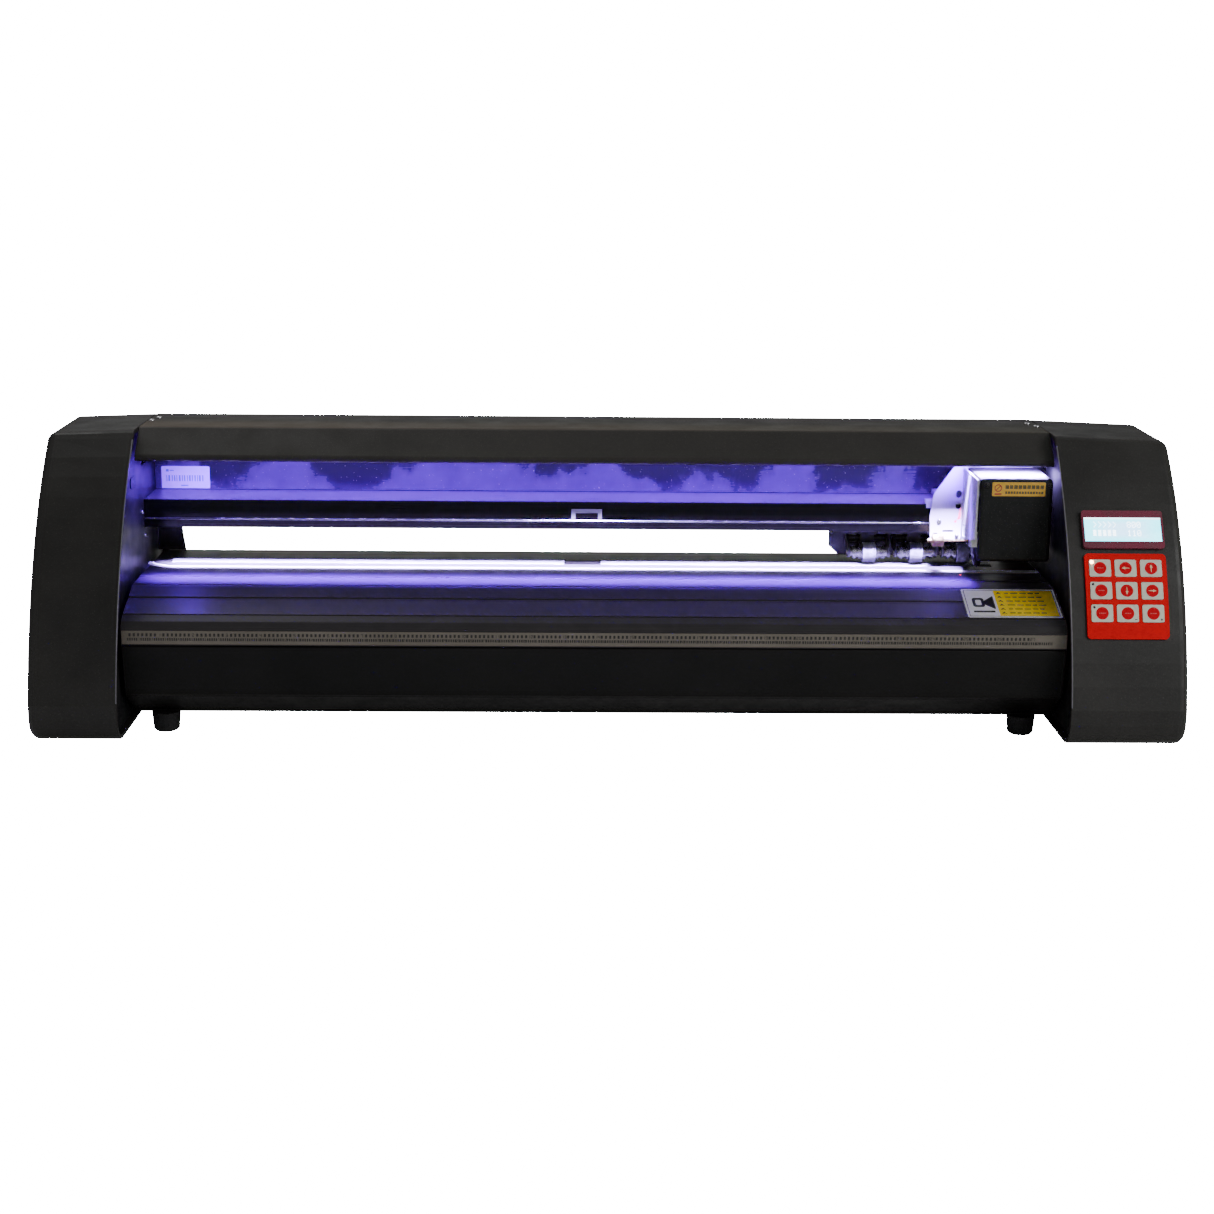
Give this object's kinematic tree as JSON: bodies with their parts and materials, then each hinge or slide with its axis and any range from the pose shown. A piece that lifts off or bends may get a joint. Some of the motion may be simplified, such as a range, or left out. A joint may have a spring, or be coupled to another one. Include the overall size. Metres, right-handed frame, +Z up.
{
  "type": "vinyl cutter",
  "caption": "Desktop roll-fed vinyl cutter: end casings, lit media slot, sliding blade carriage on a rail, pinch rollers, grit feed roller and keypad panel.",
  "frame": {"origin": "middle of the footprint, on the surface the feet stand on", "axes": "+X along the machine to the user's right, +Y towards its rear, +Z up"},
  "size_m": [0.874, 0.25, 0.2305],
  "materials": {
    "casing": "fine powder coat, matt black",
    "frame_black": "matt black paint",
    "cover_black": "fine powder coat, black",
    "anodised_black": "black anodised, satin",
    "white_strip": "smooth low-friction strip",
    "ruler_metal": "printed scale, satin",
    "rubber_black": "matt",
    "led_bar": "violet lit diffuser",
    "motor_black": "satin",
    "circuit_board": "green solder mask",
    "bare_steel": "plain sheet steel",
    "socket_plastic": "moulded, fine texture",
    "display_frame": "dark red tinted, glossy",
    "display_lit": "backlit blue display",
    "keypad_red": "red membrane, satin",
    "key_grey": "pale grey membrane, satin",
    "belt_rubber": "matt",
    "roller_rubber": "matt grey tread on a bright steel axle",
    "grit_steel": "knurled grit surface",
    "aluminium_parts": "machined",
    "carriage_grey": "pale grey, satin",
    "holder_black": "black anodised, satin",
    "brass_knob": "turned, satin"
  },
  "bodies": {
    "root": {"left_end_casing": "casing", "right_end_casing": "casing", "left_side_frame": "frame_black", "right_side_frame": "frame_black", "top_beam_cover": "casing", "back_panel": "anodised_black", "carriage_rail": "anodised_black", "platen": "anodised_black", "cutting_strip": "white_strip", "ruler_strip": "ruler_metal", "front_lower_cover": "cover_black", "rear_lower_cover": "cover_black", "base_plate": "frame_black", "front_left_foot": "rubber_black", "front_right_foot": "rubber_black", "rear_left_foot": "rubber_black", "rear_right_foot": "rubber_black", "led_light_bar": "led_bar", "carriage_motor": "motor_black", "feed_motor": "motor_black", "main_board": "circuit_board", "power_supply": "bare_steel", "power_inlet": "socket_plastic", "data_port": "bare_steel", "switch_housing": "socket_plastic", "display_frame": "display_frame", "display_module": "display_lit", "keypad_panel": "keypad_red", "roller_center_support": "frame_black", "carriage_belt": "belt_rubber", "feed_belt": "belt_rubber"},
    "carriage": {"carriage_plate": "carriage_grey", "carriage_cover": "cover_black", "carriage_slider": "carriage_grey"},
    "tool": {"tool_slide": "aluminium_parts", "blade_holder": "holder_black"},
    "clamp_knob": {"clamp_knob": "brass_knob"},
    "belt_drive_pulley": {"belt_drive_pulley": "aluminium_parts"},
    "belt_idler_pulley": {"belt_idler_pulley": "aluminium_parts"},
    "feed_roller": {"feed_roller": "grit_steel"},
    "feed_motor_pulley": {"feed_motor_pulley": "aluminium_parts"},
    "power_rocker": {"power_rocker": "socket_plastic"},
    "pinch_carrier_1": {"pinch_carrier_1": "frame_black"},
    "pinch_arm_1": {"pinch_arm_1": "frame_black"},
    "pinch_roller_1": {"pinch_roller_1": "roller_rubber"},
    "key_1_1": {"key_1_1": "key_grey"},
    "key_1_2": {"key_1_2": "key_grey"},
    "key_1_3": {"key_1_3": "key_grey"},
    "pinch_carrier_2": {"pinch_carrier_2": "frame_black"},
    "pinch_arm_2": {"pinch_arm_2": "frame_black"},
    "pinch_roller_2": {"pinch_roller_2": "roller_rubber"},
    "key_2_1": {"key_2_1": "key_grey"},
    "key_2_2": {"key_2_2": "key_grey"},
    "key_2_3": {"key_2_3": "key_grey"},
    "pinch_carrier_3": {"pinch_carrier_3": "frame_black"},
    "pinch_arm_3": {"pinch_arm_3": "frame_black"},
    "pinch_roller_3": {"pinch_roller_3": "roller_rubber"},
    "key_3_1": {"key_3_1": "key_grey"},
    "key_3_2": {"key_3_2": "key_grey"},
    "key_3_3": {"key_3_3": "key_grey"}
  },
  "joints": [
    {"name": "carriage_slide", "type": "slide", "parent": "root", "child": "carriage", "axis": [1, 0, 0], "range_m": [-0.62, 0]},
    {"name": "tool_lower", "type": "slide", "parent": "carriage", "child": "tool", "axis": [0, 0, -1], "range_m": [0, 0.003], "stiffness_N_per_m": 300, "springref_m": -0.004},
    {"name": "clamp_knob_turn", "type": "hinge", "parent": "tool", "child": "clamp_knob", "pos_m": [0.262, 0.008, 0.1417], "axis": [1, 0, 0], "range_deg": [0, 720]},
    {"name": "belt_drive_spin", "type": "hinge", "parent": "root", "child": "belt_drive_pulley", "pos_m": [0.395, 0.034, 0.2035], "axis": [0, 0, 1], "range_deg": [-5200, 50]},
    {"name": "belt_idler_spin", "type": "hinge", "parent": "root", "child": "belt_idler_pulley", "pos_m": [-0.398, 0.034, 0.2035], "axis": [0, 0, 1], "range_deg": [-5200, 50]},
    {"name": "feed_roller_spin", "type": "hinge", "parent": "root", "child": "feed_roller", "pos_m": [0, 0.041, 0.1066], "axis": [1, 0, 0], "continuous": true},
    {"name": "feed_motor_spin", "type": "hinge", "parent": "root", "child": "feed_motor_pulley", "pos_m": [0.362, -0.035, 0.0695], "axis": [1, 0, 0], "continuous": true},
    {"name": "pinch_slide_3", "type": "slide", "parent": "root", "child": "pinch_carrier_3", "axis": [-1, 0, 0], "range_m": [0, 0.17]},
    {"name": "pinch_slide_2", "type": "slide", "parent": "pinch_carrier_3", "child": "pinch_carrier_2", "axis": [-1, 0, 0], "range_m": [0, 0.17]},
    {"name": "pinch_slide_1", "type": "slide", "parent": "pinch_carrier_2", "child": "pinch_carrier_1", "axis": [-1, 0, 0], "range_m": [0, 0.17]},
    {"name": "pinch_lift_1", "type": "hinge", "parent": "pinch_carrier_1", "child": "pinch_arm_1", "pos_m": [0.2133, 0.055, 0.134], "axis": [-1, 0, 0], "range_deg": [0, 15], "stiffness_Nm_per_rad": 0.3, "springref_deg": -17.19},
    {"name": "pinch_spin_1", "type": "hinge", "parent": "pinch_arm_1", "child": "pinch_roller_1", "pos_m": [0.2133, 0.041, 0.1247], "axis": [1, 0, 0], "continuous": true},
    {"name": "pinch_lift_2", "type": "hinge", "parent": "pinch_carrier_2", "child": "pinch_arm_2", "pos_m": [0.2518, 0.055, 0.134], "axis": [-1, 0, 0], "range_deg": [0, 15], "stiffness_Nm_per_rad": 0.3, "springref_deg": -17.19},
    {"name": "pinch_spin_2", "type": "hinge", "parent": "pinch_arm_2", "child": "pinch_roller_2", "pos_m": [0.2518, 0.041, 0.1247], "axis": [1, 0, 0], "continuous": true},
    {"name": "pinch_lift_3", "type": "hinge", "parent": "pinch_carrier_3", "child": "pinch_arm_3", "pos_m": [0.2903, 0.055, 0.134], "axis": [-1, 0, 0], "range_deg": [0, 15], "stiffness_Nm_per_rad": 0.3, "springref_deg": -17.19},
    {"name": "pinch_spin_3", "type": "hinge", "parent": "pinch_arm_3", "child": "pinch_roller_3", "pos_m": [0.2903, 0.041, 0.1247], "axis": [1, 0, 0], "continuous": true},
    {"name": "press_key_1_1", "type": "slide", "parent": "root", "child": "key_1_1", "axis": [0, 0.8773, -0.48], "range_m": [0, 0.0005], "stiffness_N_per_m": 1500, "springref_m": -0.0003},
    {"name": "press_key_1_2", "type": "slide", "parent": "root", "child": "key_1_2", "axis": [0, 0.8773, -0.48], "range_m": [0, 0.0005], "stiffness_N_per_m": 1500, "springref_m": -0.0003},
    {"name": "press_key_1_3", "type": "slide", "parent": "root", "child": "key_1_3", "axis": [0, 0.8773, -0.48], "range_m": [0, 0.0005], "stiffness_N_per_m": 1500, "springref_m": -0.0003},
    {"name": "press_key_2_1", "type": "slide", "parent": "root", "child": "key_2_1", "axis": [0, 0.8996, -0.4367], "range_m": [0, 0.0005], "stiffness_N_per_m": 1500, "springref_m": -0.0003},
    {"name": "press_key_2_2", "type": "slide", "parent": "root", "child": "key_2_2", "axis": [0, 0.8996, -0.4367], "range_m": [0, 0.0005], "stiffness_N_per_m": 1500, "springref_m": -0.0003},
    {"name": "press_key_2_3", "type": "slide", "parent": "root", "child": "key_2_3", "axis": [0, 0.8996, -0.4367], "range_m": [0, 0.0005], "stiffness_N_per_m": 1500, "springref_m": -0.0003},
    {"name": "press_key_3_1", "type": "slide", "parent": "root", "child": "key_3_1", "axis": [0, 0.9197, -0.3925], "range_m": [0, 0.0005], "stiffness_N_per_m": 1500, "springref_m": -0.0003},
    {"name": "press_key_3_2", "type": "slide", "parent": "root", "child": "key_3_2", "axis": [0, 0.9197, -0.3925], "range_m": [0, 0.0005], "stiffness_N_per_m": 1500, "springref_m": -0.0003},
    {"name": "press_key_3_3", "type": "slide", "parent": "root", "child": "key_3_3", "axis": [0, 0.9197, -0.3925], "range_m": [0, 0.0005], "stiffness_N_per_m": 1500, "springref_m": -0.0003},
    {"name": "power_switch_tilt", "type": "hinge", "parent": "root", "child": "power_rocker", "pos_m": [0.4298, 0.034, 0.0525], "axis": [0, 0, 1], "range_deg": [-16, 0]}
  ],
  "couplings": [
    {"joint": "belt_drive_spin", "follows": "carriage_slide", "rad_per_m": 144.93},
    {"joint": "belt_idler_spin", "follows": "carriage_slide", "rad_per_m": 144.93},
    {"joint": "feed_motor_spin", "follows": "feed_roller_spin", "ratio": 2},
    {"joint": "pinch_spin_1", "follows": "feed_roller_spin", "ratio": -1.1446},
    {"joint": "pinch_spin_2", "follows": "feed_roller_spin", "ratio": -1.1446},
    {"joint": "pinch_spin_3", "follows": "feed_roller_spin", "ratio": -1.1446}
  ]
}
